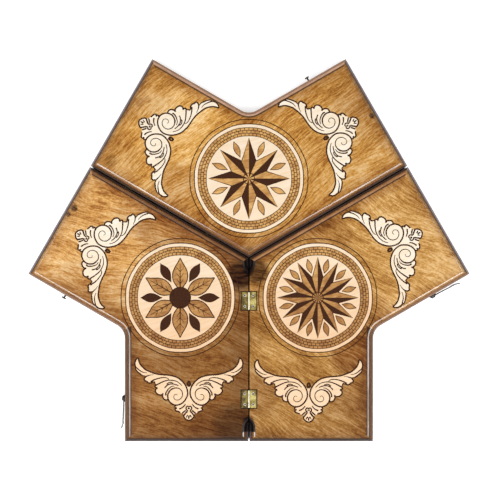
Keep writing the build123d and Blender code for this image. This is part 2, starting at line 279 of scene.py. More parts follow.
def near_edges(tree, place, shell):
    """How far the nearest moulded edge is, whether it is a seam, and how far the nearest
    outer edge faces towards the top of the board, from nought to one."""
    local = axes(tree, in_shell(tree, place, shell))
    side, inward = arith(tree, "SIGN", local["X"]), local["Y"]
    outward = arith(tree, "ABSOLUTE", local["X"])
    slope_cos, slope_sin = cos(arm_slope), sin(arm_slope)
    along = plus(tree, times(tree, outward, slope_cos), times(tree, inward, slope_sin))
    across = minus(tree, times(tree, inward, slope_cos), times(tree, outward, slope_sin))
    from_end = minus(tree, arm_reach, along)
    from_wall = minus(tree, half_arm, across)
    if shell in plain_seams:
        # The hinged seam is plain but for its run-outs, so it is moved a metre away
        inputs = {0: side, 1: plain_seams[shell], 2: 0.5}
        on_plain = add_node(tree, "ShaderNodeMath", inputs, operation="COMPARE").outputs[0]
        across = plus(tree, across, on_plain)
    from_outside = arith(tree, "MINIMUM", from_end, from_wall)
    on_seam = arith(tree, "LESS_THAN", across, from_outside)

    turn = radians(shell_turns[shell])
    end_way = plus(tree, times(tree, side, slope_cos * sin(turn)), slope_sin * cos(turn))
    wall_way = plus(tree, times(tree, side, -slope_sin * sin(turn)), slope_cos * cos(turn))
    on_wall = arith(tree, "LESS_THAN", from_wall, from_end)
    change = times(tree, on_wall, minus(tree, wall_way, end_way))
    way = rescale(tree, plus(tree, end_way, change), -1, 1)
    return arith(tree, "MINIMUM", from_outside, across), on_seam, way


def mark(tree, place, spot, reach):
    """One at a spot of the face and nought at its reach, both in metres."""
    inputs = {0: place, 1: (*spot, face_z)}
    away = add_node(tree, "ShaderNodeVectorMath", inputs, operation="DISTANCE").outputs["Value"]
    return fade(tree, away, reach / 2, reach, 1.0, 0.0)


def flamed_figure(tree, place, grain, offset):
    """The birch's figure as a whole, and its streaks, fibres, clouds and flecks by themselves.
    A pattern's scale says how fine it is along the grain, across it and through the sheet."""

    def pattern(start, scale, detail, roughness=0.5):
        return noise(tree, stretched(tree, start, grain, scale, offset), 1.0, detail, roughness)

    curl = times(tree, minus(tree, pattern(place, (6, 12, 9), 2.0), 0.5), 0.06)
    turn = radians(grain)
    drift = {"X": times(tree, curl, -sin(turn)), "Y": times(tree, curl, cos(turn))}
    inputs = {0: place, 1: add_node(tree, "ShaderNodeCombineXYZ", drift).outputs[0]}
    curled = add_node(tree, "ShaderNodeVectorMath", inputs, operation="ADD").outputs[0]
    flame = pattern(curled, (14, 46, 30), 3.0)
    streaks = pattern(curled, (46, 460, 80), 2.0, 0.55)
    fibres = pattern(curled, (140, 950, 300), 2.0, 0.6)
    clouds = pattern(place, (12, 20, 9), 5.0, 0.6)
    mottle = pattern(place, (380, 260, 200), 3.0, 0.7)
    flecks = pattern(curled, (150, 1100, 300), 2.0)

    figure = times(tree, fade(tree, flame, 0.34, 0.66), 0.19)
    for part, share in ((streaks, 0.26), (fibres, 0.22), (clouds, 0.19), (mottle, 0.14)):
        figure = plus(tree, figure, times(tree, fade(tree, part, 0.33, 0.67), share))
    return figure, streaks, fibres, clouds, flecks


def stained_panel(tree, place, patterns, tones, deepening, smudges):
    """The panel's tones: the figure in three tones, deepened along an axis and at some spots."""
    figure, streaks, _, clouds, flecks = patterns
    fleck_tone, deep_tone = (0.55, 0.4, 0.28), (0.3, 0.18, 0.08)
    panel = shades(tree, figure, list(zip((0.18, 0.5, 0.82), tones)))
    panel = blend(tree, fade(tree, flecks, 0.6, 0.72, 0.0, 0.6), panel, fleck_tone, "MULTIPLY")
    wander = times(tree, minus(tree, clouds, 0.5), 0.16)
    for axis, start, end, amount in deepening:
        reached = plus(tree, axes(tree, place)[axis], wander)
        deepened = fade(tree, reached, start, end, 0, amount)
        panel = blend(tree, deepened, panel, deep_tone, "MULTIPLY")
    for spot, reach, amount, tone in smudges:
        streaked = fade(tree, streaks, 0.35, 0.6, amount, amount * 0.8)
        near = times(tree, mark(tree, place, spot, reach), streaked)
        panel = blend(tree, near, panel, tone, "MULTIPLY")
    return panel


# Painted light and shade of the routed edge: tones of the round and of the ledge, lit or shaded
# by the way each faces, and how much of the panel's tone the round's top takes as a painted
# highlight, for each way that an edge faces: nought is the bottom of the board and one the top
round_light_and_shade = (
    (0.0, (0.022, 0.012, 0.008)),
    (0.067, (0.3, 0.14, 0.055)),
    (0.5, (0.19, 0.085, 0.035)),
    (0.75, (0.09, 0.045, 0.03)),
    (0.933, (0.82, 0.5, 0.33)),
)
ledge_light_and_shade = (
    (0.0, (0.11, 0.08, 0.075)),
    (0.067, (0.33, 0.2, 0.135)),
    (0.5, (0.22, 0.135, 0.085)),
    (0.75, (0.3, 0.26, 0.27)),
    (0.933, (0.4, 0.25, 0.17)),
)
highlight_carry = ((0.0, 0.85), (0.067, 0.8), (0.5, 0.0), (0.75, 0.8), (0.933, 0.12))
# Painted shade: the dark line along the step of some edges, partly stain built up there, and the
# dark of the mortise gap round each hinge leaf
step_shade_tone, hinge_gap_shade_tone = (0.05, 0.02, 0.01), (0.02, 0.01, 0.005)
burn, amber = (0.07, 0.03, 0.012), (0.42, 0.25, 0.12)

# How far from a moulded edge the dark step line (stain and painted shade), the darker border and
# the painted shade of the run-outs and pockets fade, and how far from a hinge leaf its painted gap
# shade does
step_shade_span, border_span, pocket_shade_span = (0.0085, 0.0106), (0.01, 0.026), (0.0125, 0.0145)
hinge_gap_shade_span = (0.0008, 0.0022)


def hinge_gap_shades(tree, place, panel):
    """Painted shade round the two hinges of the decorated faces, where the mortise gaps lie dark.
    """
    spot = axes(tree, place)
    for reach in hinge_reaches:
        beside = minus(tree, arith(tree, "ABSOLUTE", spot["X"]), leaf_corner.x)
        beyond = arith(tree, "ABSOLUTE", minus(tree, spot["Y"], hub.y - reach))
        beyond = minus(tree, beyond, leaf_corner.y)
        around = fade(tree, arith(tree, "MAXIMUM", beside, beyond), *hinge_gap_shade_span, 0.92, 0.0)
        panel = blend(tree, around, panel, hinge_gap_shade_tone)
    return panel


def routed_edge(
    tree, place, grain, clouds, near, carried_highlight, upper_wall, rounded_over, seam_lit_tone, seam_ledge_shade
):
    """The moulding's tones, painted light and shade by the way each part faces, how high each place
    on it lies, and where painted shade darkens the run-outs and pockets.
    """
    distance, on_seam, way = near
    facing = axes(tree, add_node(tree, "ShaderNodeTexCoord", {}).outputs["Normal"])
    level = add_node(tree, "ShaderNodeCombineXYZ", {"X": facing["X"], "Y": facing["Y"]}).outputs[0]
    level = add_node(tree, "ShaderNodeVectorMath", {0: level}, operation="NORMALIZE").outputs[0]
    north = axes(tree, level)["Y"]
    # Painted light and shade: the round's tone follows the way its surface faces, and seam rounds
    # facing the top take a lit tone of their own
    edge = shades(tree, rescale(tree, north, -1, 1), round_light_and_shade)
    on_upper_seam = times(tree, arith(tree, "GREATER_THAN", north, 0.8), on_seam)
    edge = blend(tree, on_upper_seam, edge, seam_lit_tone)
    grain_lines = noise(tree, stretched(tree, place, grain, (60, 60, 600)), 1.0, 3.0)
    grain_lines = fade(tree, grain_lines, 0.35, 0.7, 0.0, 0.6)
    edge = blend(tree, grain_lines, edge, (0.5, 0.38, 0.3), "MULTIPLY")

    height = rescale(tree, axes(tree, place)["Z"], face_z - ledge_depth, face_z - step_depth)
    # The round's near-flat top: painted shade under the step, or the panel's tone as a painted
    # highlight, by facing
    top = blend(tree, carried_highlight, (0.05, 0.02, 0.012), rounded_over)
    flatness = plus(tree, facing["Z"], times(tree, upper_wall, 0.05))
    edge = blend(tree, fade(tree, flatness, 0.93, 0.985), edge, top)
    edge = blend(tree, times(tree, fade(tree, height, 0.6, 0.92), carried_highlight), edge, rounded_over)
    # Ledge tones by facing are painted light and reflection; beside a seam's gap the ledge takes
    # painted shade
    ledge = blend(tree, on_seam, shades(tree, way, ledge_light_and_shade), seam_ledge_shade)
    ledge = blend(tree, fade(tree, clouds, 0.3, 0.7, 0.0, 0.5), ledge, (0.55, 0.5, 0.5), "MULTIPLY")
    edge = blend(tree, fade(tree, height, 0.02, 0.09, 1.0, 0.0), edge, ledge)

    # Painted shade: pockets far from any moulded edge, and the run-outs, go near black
    pocket_shade = fade(tree, distance, *pocket_shade_span)
    for spot, reach in run_outs:
        pocket_shade = arith(tree, "MAXIMUM", pocket_shade, mark(tree, place, spot, reach))
    return blend(tree, pocket_shade, edge, (0.008, 0.004, 0.003)), height, pocket_shade


def worn_lacquer(tree, place, height, pocket_shade):
    """Weight of the lacquer: gone from the low places and from the pockets painted dark as shade,
    and thin near the hub.
    """
    coat = fade(tree, noise(tree, place, 26, 3.0), 0.35, 0.65, 0.55, 1.0)
    coat = times(tree, coat, fade(tree, height, 0.75, 0.95))
    coat = times(tree, coat, inverse(tree, pocket_shade))
    inputs = {0: place, 1: (hub.x, hub.y, face_z)}
    from_hub = add_node(tree, "ShaderNodeVectorMath", inputs, operation="DISTANCE").outputs["Value"]
    return times(tree, coat, fade(tree, from_hub, 0.02, 0.12, 0.15, 1.0))


def stained_cover(
    shell, grain, offset, tones, deepening, smudges, seam_lit_tone, seam_ledge_shade, seam_highlight_carry
):
    """The finish of one shell's cover: flamed panel, dark routed edge. Over some edges the round
    takes the panel's tone as a painted highlight, and the edge is lit and shaded as painted light."""
    material, tree, shader, place = finish_material(f"{shell}_cover_ply", 0.32, specular=0.1)
    patterns = flamed_figure(tree, place, grain, offset)
    _, streaks, fibres, clouds, _ = patterns
    panel = stained_panel(tree, place, patterns, tones, deepening, smudges)

    near = near_edges(tree, place, shell)
    distance, on_seam, way = near
    # How much of the panel's tone the round's top takes as a painted highlight, by facing
    carried_highlight = shades(tree, way, [(at, (amount,) * 3) for at, amount in highlight_carry])
    carried_highlight = blend(tree, on_seam, carried_highlight, (seam_highlight_carry,) * 3)
    darkened = plus(tree, distance, times(tree, minus(tree, clouds, 0.5), 0.03))
    darkened = fade(tree, darkened, *border_span, 0.6, 0.0)
    darkened = times(tree, darkened, inverse(tree, times(tree, carried_highlight, 0.6)))
    panel = blend(tree, darkened, panel, (0.42, 0.25, 0.14), "MULTIPLY")
    rounded_over = panel
    upper_wall = times(tree, arith(tree, "GREATER_THAN", way, 0.9), inverse(tree, on_seam))
    # The dark line along the step: partly stain built up there, partly painted shade that follows
    # the edge's facing
    outline = fade(tree, distance, *step_shade_span, 0.95, 0.0)
    outline = times(tree, outline, inverse(tree, carried_highlight))
    outline = times(tree, outline, inverse(tree, times(tree, upper_wall, 0.85)))
    panel = blend(tree, outline, panel, step_shade_tone)
    # Painted shade of the mortise gaps round the hinge leaves
    if shell in plain_seams:
        panel = hinge_gap_shades(tree, place, panel)
    tree.links.new(panel, shader.inputs["Base Color"])
    emboss(tree, shader, plus(tree, fibres, times(tree, streaks, 0.5)), 0.00008, 0.5)

    edge, height, pocket_shade = routed_edge(
        tree, place, grain, clouds, near, carried_highlight, upper_wall, rounded_over, seam_lit_tone, seam_ledge_shade
    )
    routed = add_node(tree, "ShaderNodeBsdfPrincipled", {"Base Color": edge, "Roughness": 0.3})
    routed.inputs["Specular IOR Level"].default_value = 0.2
    routed.inputs["Coat Roughness"].default_value = 0.1
    routed.inputs["Coat IOR"].default_value = 2.0
    tree.links.new(worn_lacquer(tree, place, height, pocket_shade), routed.inputs["Coat Weight"])
    on_panel = fade(tree, axes(tree, place)["Z"], face_z - 0.0007, face_z - 0.0003)
    inputs = {0: on_panel, 1: routed.outputs[0], 2: shader.outputs[0]}
    both = add_node(tree, "ShaderNodeMixShader", inputs)
    tree.links.new(both.outputs[0], tree.nodes["Material Output"].inputs["Surface"])
    return material


# Spots are in metres on the face, each with its reach, its strength and its tone
cover_looks = {
    "upper": {
        "grain": 38,
        "offset": (0.3, 0.1, 0.7),
        "tones": ((0.33, 0.11, 0.015), (0.71, 0.37, 0.085), (0.93, 0.66, 0.33)),
        "deepening": (("X", -0.06, 0.12, 0.24),),
        "smudges": (
            ((-0.106, 0.088), 0.05, 0.55, amber),
            ((-0.19, 0.122), 0.05, 0.35, amber),
            ((-0.155, 0.225), 0.06, 0.34, amber),
            ((-0.05, 0.028), 0.045, 0.6, amber),
            ((0.15, 0.222), 0.045, 0.38, amber),
            ((0.182, 0.19), 0.05, 0.28, amber),
            ((-0.022, 0.013), 0.035, 0.45, amber),
            ((0.008, 0.01), 0.035, 0.4, amber),
            ((0.0, -0.004), 0.012, 0.5, burn),
            ((-0.1558, 0.2113), 0.009, 0.5, amber),
            ((-0.1458, 0.2156), 0.007, 0.4, amber),
            ((0.176, 0.1927), 0.0055, 1.0, burn),
            ((-0.197, 0.128), 0.012, 0.3, burn),
        ),
        # Seam tones: painted light on rounds facing the top, painted shade on ledges by the gap,
        # and a painted highlight
        "seam_lit_tone": (0.3, 0.135, 0.045),
        "seam_ledge_shade": (0.07, 0.04, 0.028),
        "seam_highlight_carry": 0.4,
    },
    "left": {
        "grain": -14,
        "offset": (1.7, 0.4, 0.2),
        "tones": ((0.3, 0.1, 0.016), (0.69, 0.355, 0.098), (0.92, 0.66, 0.345)),
        "deepening": (
            ("Y", -0.02, -0.15, 0.66),
            ("Y", -0.2, -0.3, 0.42),
            ("X", -0.14, -0.02, 0.45),
            ("X", -0.045, 0.0, 0.35),
        ),
        "smudges": (
            ((-0.12, 0.031), 0.055, 0.6, amber),
            ((-0.162, 0.049), 0.04, 0.4, amber),
            ((-0.078, 0.013), 0.045, 0.35, amber),
            ((-0.25, -0.05), 0.045, 0.35, amber),
            ((-0.125, -0.155), 0.06, 0.4, amber),
            ((-0.045, -0.256), 0.05, 0.45, amber),
            ((-0.196, -0.058), 0.045, 0.35, amber),
            ((-0.024, -0.015), 0.05, 0.9, amber),
            ((-0.012, -0.085), 0.045, 0.4, amber),
            ((-0.0125, -0.037), 0.027, 1.0, burn),
            ((-0.0004, -0.029), 0.009, 1.0, burn),
            ((0.0, -0.2448), 0.01, 1.0, burn),
            ((-0.018, -0.252), 0.042, 0.5, burn),
            ((-0.2502, 0.0597), 0.0065, 0.95, burn),
            ((-0.2588, 0.0512), 0.005, 0.9, burn),
        ),
        # Seam tones: painted light, painted shade by the gap and a painted highlight, as above
        "seam_lit_tone": (0.32, 0.15, 0.06),
        "seam_ledge_shade": (0.03, 0.013, 0.007),
        "seam_highlight_carry": 0.0,
    },
    "right": {
        "grain": -28,
        "offset": (2.9, 1.3, 0.5),
        "tones": ((0.25, 0.09, 0.014), (0.555, 0.285, 0.07), (0.83, 0.55, 0.25)),
        "deepening": (("Y", -0.06, -0.26, 0.42), ("X", 0.045, 0.0, 0.28)),
        "smudges": (
            ((0.113, 0.014), 0.045, 0.55, amber),
            ((0.148, -0.146), 0.042, 0.9, amber),
            ((0.18, -0.086), 0.03, 0.45, amber),
            ((0.165, -0.2), 0.06, 0.42, amber),
            ((0.137, -0.25), 0.06, 0.25, amber),
            ((0.008, -0.205), 0.045, 0.4, amber),
            ((0.012, -0.09), 0.05, 0.3, amber),
            ((0.008, -0.034), 0.024, 0.5, amber),
            ((0.0115, -0.031), 0.022, 0.9, burn),
            ((-0.0004, -0.029), 0.01, 1.0, burn),
            ((0.0, -0.2448), 0.009, 1.0, burn),
        ),
        # Seam tones: painted light, painted shade by the gap and a painted highlight, as above
        "seam_lit_tone": (0.56, 0.28, 0.12),
        "seam_ledge_shade": (0.05, 0.024, 0.013),
        "seam_highlight_carry": 0.0,
    },
}
for shell, looks in cover_looks.items():
    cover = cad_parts[f"{shell}_cover"]
    cover.data.materials.clear()
    cover.data.materials.append(stained_cover(shell, **looks))

# Tray rails: strips of hardwood under the covers, mitred at the corners, stained the same
# dark brown as the routed edge, with the grain along each strip.
arm_turns = {"right": 30, "left": 150, "bottom": 270}
rail_tones = ((0.06, 0.022, 0.01), (0.14, 0.055, 0.022), (0.24, 0.105, 0.045))
rail_pore = (0.03, 0.012, 0.006)


def rail_stain(name, grain):
    material, tree, shader, place = finish_material(name, 0.42, coat=0.3, coat_roughness=0.2)
    rings = noise(tree, stretched(tree, place, grain, (10, 160, 160)), 1.0, 4.0, 0.6)
    pores = noise(tree, stretched(tree, place, grain, (90, 1400, 1400)), 1.0, 2.0)
    wood = shades(tree, rings, list(zip((0.3, 0.5, 0.72), rail_tones)))
    wood = blend(tree, fade(tree, pores, 0.5, 0.68, 0, 0.55), wood, rail_pore)
    tree.links.new(wood, shader.inputs["Base Color"])
    emboss(tree, shader, pores, 0.0001, 0.5)
    return material


rail_stains = {}
for name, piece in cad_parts.items():
    if "_notch_block" in name:
        grain = shell_turns[name.split("_")[0]]
    elif "_rail_" in name:
        grain = arm_turns[name.split("_")[-1]] + (90 if "_end_rail_" in name else 0)
    else:
        continue
    grain %= 180
    if grain not in rail_stains:
        rail_stains[grain] = rail_stain(f"rail_stain_{grain}", grain)
    piece.data.materials.clear()
    piece.data.materials.append(rail_stains[grain])

# Playing side: a varnished pale field board inside the rails, with long dark and light
# points of veneer let into it.
veneer_tones = {
    "field": ((0.42, 0.24, 0.1), (0.56, 0.35, 0.16), (0.68, 0.46, 0.24)),
    "dark_points": ((0.05, 0.02, 0.01), (0.1, 0.04, 0.018), (0.17, 0.075, 0.035)),
    "light_points": ((0.62, 0.46, 0.27), (0.75, 0.59, 0.38), (0.85, 0.7, 0.5)),
}


def veneer(name, grain, tones):
    """Varnished wood with a straight grain in three tones."""
    material, tree, shader, place = finish_material(name, 0.32, coat=0.3, coat_roughness=0.12)
    sway = times(tree, noise(tree, stretched(tree, place, grain, (4, 10, 10)), 1.0, 2.0), 0.03)
    drift = add_node(tree, "ShaderNodeCombineXYZ", {"X": sway, "Y": sway}).outputs[0]
    inputs = {0: place, 1: drift}
    swayed = add_node(tree, "ShaderNodeVectorMath", inputs, operation="ADD").outputs[0]
    lines = noise(tree, stretched(tree, swayed, grain, (14, 260, 260)), 1.0, 5.0, 0.6)
    pores = noise(tree, stretched(tree, swayed, grain, (120, 1800, 1800)), 1.0, 2.0)
    wood = shades(tree, lines, list(zip((0.3, 0.5, 0.7), tones)))
    wood = blend(tree, fade(tree, pores, 0.52, 0.7, 0, 0.3), wood, tones[0])
    tree.links.new(wood, shader.inputs["Base Color"])
    emboss(tree, shader, pores, 0.00006, 0.4)
    return material


for shell, turn in shell_turns.items():
    for part, tones in veneer_tones.items():
        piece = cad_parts[f"{shell}_{part}"]
        piece.data.materials.clear()
        piece.data.materials.append(veneer(f"{shell}_{part}_veneer", turn % 180, tones))

# Hinges and clasps: stamped brass butts let into the wood, with rolled knuckles on a steel
# pin, and dark brass swing hooks with mushroom-headed catch pins. A hook turns on a black
# lacquered plate, screwed to a side rail.
rim_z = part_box("upper_end_rail_left")[0].z


def worn_metal(name, tones, roughness, pattern_scale, metallic=1.0, wear_and_highlight=None):
    """Metal whose tarnish comes and goes in small patches, with a finer mottle on top. A hinge
    is lighter where it stands proud of a face or rim, partly worn and partly a painted highlight
    along the knuckle, and its left leaf is duller."""
    material, tree, shader, place = finish_material(name, roughness, metallic=metallic)
    tarnish = noise(tree, place, pattern_scale, 4.0, 0.6)
    mottle = noise(tree, place, pattern_scale * 6, 3.0, 0.6)
    amount = plus(tree, times(tree, tarnish, 0.65), times(tree, mottle, 0.35))
    spot = axes(tree, place)
    if wear_and_highlight:
        amount = plus(tree, amount, fade(tree, spot["X"], -0.002, 0.0, -0.07, 0.03))
    colour = shades(tree, amount, list(zip((0.38, 0.5, 0.62), tones)))
    if wear_and_highlight:
        # A lighter band where the knuckle stands above the face or rim: partly wear, partly a
        # painted highlight
        over_face = fade(tree, spot["Z"], face_z + 0.0009, face_z + 0.0016)
        under_rim = fade(tree, spot["Z"], rim_z - 0.0009, rim_z - 0.0016)
        proud = plus(tree, over_face, under_rim)
        proud = times(tree, proud, fade(tree, mottle, 0.3, 0.5, 0.75, 1.0))
        colour = blend(tree, proud, colour, wear_and_highlight)
    tree.links.new(colour, shader.inputs["Base Color"])
    dulled = fade(tree, mottle, 0.35, 0.65, roughness - 0.08, roughness + 0.1)
    tree.links.new(dulled, shader.inputs["Roughness"])
    emboss(tree, shader, mottle, 0.0001, 0.3)
    return material


brass_tones = ((0.09, 0.06, 0.012), (0.33, 0.25, 0.06), (0.66, 0.57, 0.2))
screw_tones = ((0.5, 0.46, 0.34), (0.82, 0.78, 0.64), (0.97, 0.94, 0.84))
steel_tones = ((0.4, 0.38, 0.34), (0.55, 0.53, 0.5), (0.7, 0.68, 0.65))
hook_tones = ((0.02, 0.016, 0.014), (0.055, 0.045, 0.038), (0.13, 0.11, 0.09))
lacquer_tones = ((0.006, 0.006, 0.008), (0.014, 0.014, 0.018), (0.05, 0.046, 0.045))
brass = worn_metal("hinge_brass", brass_tones, 0.36, 130, 0.4, wear_and_highlight=(0.8, 0.73, 0.54))
screw_brass = worn_metal("screw_brass", screw_tones, 0.3, 700, 0.5)
pin_steel = worn_metal("pin_steel", steel_tones, 0.3, 900)
hook_brass = worn_metal("hook_brass", hook_tones, 0.45, 300, 0.3)
black_lacquer = worn_metal("black_lacquer", lacquer_tones, 0.35, 400, 0.2)
metals = {
    "hinge_leaves": brass,
    "hinge_screws": screw_brass,
    "hinge_pins": pin_steel,
    "hook_plate": black_lacquer,
    "hook_screw": black_lacquer,
    "catch_pin": hook_brass,
    "_hook": hook_brass,
}
for name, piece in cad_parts.items():
    for part, metal in metals.items():
        if part in name:
            piece.data.materials.clear()
            piece.data.materials.append(metal)
            break

# Hinge screws: countersunk heads with a cross recess, bright where the driver has rubbed
# them, driven flush with the leaves. There are four to a hinge.
millimetre = 0.001
screw_spread, screw_offset = 0.0077, 0.0059
head_rise = 0.00004
turn_per_screw = 37
recess_length, recess_width, recess_depth = 2.4, 1.35, 1.6
recess_turns = (20, 110)
screw_profile = (
    (0.0, 0.0), (1.2, 0.0), (1.7, -0.03), (1.88, -0.12), (0.85, -1.2), (0.75, -6.2), (0.0, -6.9)
)


def polar(radius, angle):
    return (radius * cos(radians(angle)), radius * sin(radians(angle)))


# Painted shade: the inside of the cross recess is coloured near black for the shade in it
def painted_recess_shade():
    material, tree, shader, place = finish_material("screw_recess_shade", 0.7, specular=0.1)
    recess_shade_mottle = noise(tree, place, 1500, 2.0)
    tone = shades(tree, recess_shade_mottle, [(0.3, (0.004, 0.003, 0.006)), (0.7, (0.02, 0.015, 0.02))])
    tree.links.new(tone, shader.inputs["Base Color"])
    return material


def screw_shape():
    """One screw, pointing down, with its face at nought; the recess has the second material."""
    body = bmesh.new()
    corners = [body.verts.new((x * millimetre, 0, z * millimetre)) for x, z in screw_profile]
    edges = [body.edges.new(pair) for pair in zip(corners, corners[1:])]
    outline = corners + edges
    bmesh.ops.spin(
        body, geom=outline, cent=(0, 0, 0), axis=(0, 0, 1), angle=2 * pi, steps=24, use_merge=True
    )
    bmesh.ops.remove_doubles(body, verts=body.verts, dist=1e-7)
    bmesh.ops.recalc_face_normals(body, faces=body.faces)
    shape = bpy.data.meshes.new("screw_shape")
    body.to_mesh(shape)
    body.free()

    cross = bmesh.new()
    for turn in recess_turns:
        wing = bmesh.ops.create_cube(cross, size=millimetre)["verts"]
        bmesh.ops.scale(cross, verts=wing, vec=(recess_length, recess_width, recess_depth))
        bmesh.ops.rotate(cross, verts=wing, matrix=Matrix.Rotation(radians(turn), 3, "Z"))
    for face in cross.faces:
        face.material_index = 1
    cross_data = bpy.data.meshes.new("cross_recess")
    cross.to_mesh(cross_data)
    cross.free()
    for material in (screw_brass, painted_recess_shade()):
        shape.materials.append(material)
        cross_data.materials.append(material)
    screw = bpy.data.objects.new("screw", shape)
    cutter = bpy.data.objects.new("cutter", cross_data)
    for piece in (screw, cutter):
        bpy.context.scene.collection.objects.link(piece)
    cut = screw.modifiers.new("recess", "BOOLEAN")
    cut.operation, cut.solver, cut.use_self, cut.object = "DIFFERENCE", "EXACT", True, cutter
    bpy.context.view_layer.update()
    finished = screw.evaluated_get(bpy.context.evaluated_depsgraph_get())
    data = bpy.data.meshes.new_from_object(finished)
    for piece in (screw, cutter):
        bpy.data.objects.remove(piece)
    return data


one_screw = screw_shape()
screw_rows = {
    "face_hinge_screws_left": (270, 180, "left_shell"),
    "face_hinge_screws_right": (270, 0, "right_shell"),
    "rim_hinge_screws_left": (150, 240, "left_shell"),
    "rim_hinge_screws_upper": (150, 60, "upper_shell"),
}
for name, (arm_angle, side_angle, body) in screw_rows.items():
    on_rim = name.startswith("rim")
    level = rim_z - head_rise if on_rim else face_z + head_rise
    flip = Matrix.Rotation(pi, 4, "X") if on_rim else Matrix.Identity(4)
    row = bmesh.new()
    reaches = [reach + step for reach in hinge_reaches for step in (-screw_spread, screw_spread)]
    for count, reach in enumerate(reaches, 1):
        x, y = polar(reach, arm_angle)
        side_x, side_y = polar(screw_offset, side_angle)
        spot = Matrix.Translation(Vector((hub.x + x + side_x, hub.y + y + side_y, level)))
        driven = one_screw.copy()
        driven.transform(spot @ Matrix.Rotation(radians(turn_per_screw * count), 4, "Z") @ flip)
        row.from_mesh(driven)
        bpy.data.meshes.remove(driven)
    data = bpy.data.meshes.new(f"{name}_driven")
    row.to_mesh(data)
    row.free()
    for material in one_screw.materials:
        data.materials.append(material)
    piece = bpy.data.objects.new(f"{name}_driven", data)
    bpy.context.scene.collection.objects.link(piece)
    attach(piece, body)
    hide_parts(name)
bpy.data.meshes.remove(one_screw)

# Scroll ornaments: a traditional pair of acanthus wings round two volutes, left in bare
# birch where the stain was masked, with every line burnt in. Each shell has one on each arm.

# Points in millimetres from the middle of the two volutes: out along a wing, then up towards
# the board's hub
stem = [
    (2.9, 10.2), (5.7, 15.8), (10.0, 20.8), (15.6, 25.1), (21.8, 27.6), (29.3, 29.1),
    (36.7, 29.6), (44.1, 30.4), (50.3, 32.0), (55.3, 34.0), (60.9, 36.3), (65.2, 39.7),
    (68.9, 43.8), (71.1, 48.1), (72.4, 54.0),
]
volute = [
    (2.9, 10.2), (1.9, 5.5), (2.0, 0.5), (3.8, -4.0), (7.6, -9.2), (12.5, -12.6), (18.1, -13.8),
    (23.1, -12.6), (27.4, -9.2), (29.6, -5.2), (30.2, 0.3), (28.6, 4.6), (25.8, 8.1), (21.8, 10.2),
]
volute_core = [
    (21.8, 10.2), (17.5, 10.7), (13.1, 9.2), (10.0, 5.9), (9.0, 2.0), (9.8, -1.8), (12.3, -5.0),
    (16.2, -6.6), (19.6, -5.8), (21.5, -3.0), (21.0, 0.0), (18.6, 1.7), (16.4, 0.6),
]
blade = [(72.4, 54.0), (75.1, 51.9), (77.0, 48.1), (77.2, 44.4), (76.3, 40.7)]
blade_fold = [(76.3, 40.7), (73.3, 38.2), (68.9, 34.8), (64.6, 32.9), (60.3, 32.3)]
small_lobe = [(76.3, 40.7), (76.4, 38.2), (73.9, 34.5), (70.8, 31.7), (68.3, 29.8)]
small_lobe_foot = [(68.3, 29.8), (65.8, 28.2), (62.7, 27.9), (61.5, 27.2)]
first_leaf_top = [(50.3, 29.6), (54.7, 29.2), (58.4, 28.4), (61.5, 27.2)]
first_leaf = [(61.5, 27.2), (63.7, 23.9), (63.4, 21.4), (60.3, 20.2)]
first_leaf_lobe = [(60.3, 20.2), (59.0, 18.7), (56.5, 17.7), (53.4, 18.3), (51.0, 19.6)]
first_leaf_foot = [(51.0, 19.6), (49.1, 18.9), (48.5, 17.4), (47.2, 14.5)]
leaf_fold = [
    (28.6, 22.9), (31.1, 24.8), (36.1, 25.5), (41.7, 24.8), (47.2, 23.3), (51.6, 21.4),
    (54.7, 19.6),
]
fan_top = [
    (10.0, 14.0), (13.8, 17.7), (18.7, 20.5), (24.9, 21.7), (31.7, 21.4), (37.9, 19.2),
    (42.9, 16.8), (47.2, 14.5),
]
fan_tip = [(47.2, 14.5), (48.4, 12.9), (47.2, 11.3), (44.9, 10.8)]
fan_lobe = [
    (44.9, 10.8), (47.5, 8.6), (47.7, 5.2), (45.4, 2.3), (41.6, 0.7), (38.6, 1.1), (36.9, 2.8),
]
fan_fold = [(15.0, 14.0), (18.7, 15.5), (23.7, 16.4), (28.6, 15.8), (32.4, 13.3), (34.8, 10.5)]
fan_crease = [(22.4, 17.7), (26.8, 18.6), (29.9, 17.4), (31.7, 15.8)]
hooked_leaf = [
    (36.9, 2.8), (37.7, 0.3), (37.3, -2.5), (35.5, -5.3), (33.0, -6.5), (30.2, -5.9),
    (29.6, -5.2),
]
hooked_leaf_fold = [(20.6, 13.2), (24.3, 12.9), (28.0, 10.4), (31.1, 6.7), (33.0, 2.4), (32.7, 0.0)]
foot_leaf = [(18.1, -13.8), (20.0, -15.7), (19.4, -17.3), (17.2, -17.9)]
foot_leaf_lobe = [(17.2, -17.9), (19.5, -19.2), (19.0, -21.2), (15.6, -22.9), (12.5, -24.0)]
foot_sprig = [(12.5, -24.0), (10.7, -25.2), (8.5, -26.6), (7.3, -27.4)]
flower = [(7.3, -27.4), (7.5, -29.5), (5.1, -33.2), (2.6, -35.0), (0.0, -35.9)]
wing_outline = [
    [(0.0, 12.6), (2.4, 13.4), (4.3, 14.6)] + stem[1:],
    blade, small_lobe, small_lobe_foot, first_leaf, first_leaf_lobe, first_leaf_foot,
    fan_tip, fan_lobe, hooked_leaf, volute[9:5:-1], foot_leaf, foot_leaf_lobe, foot_sprig, flower,
]
heavy, fine = 1.06, 0.78
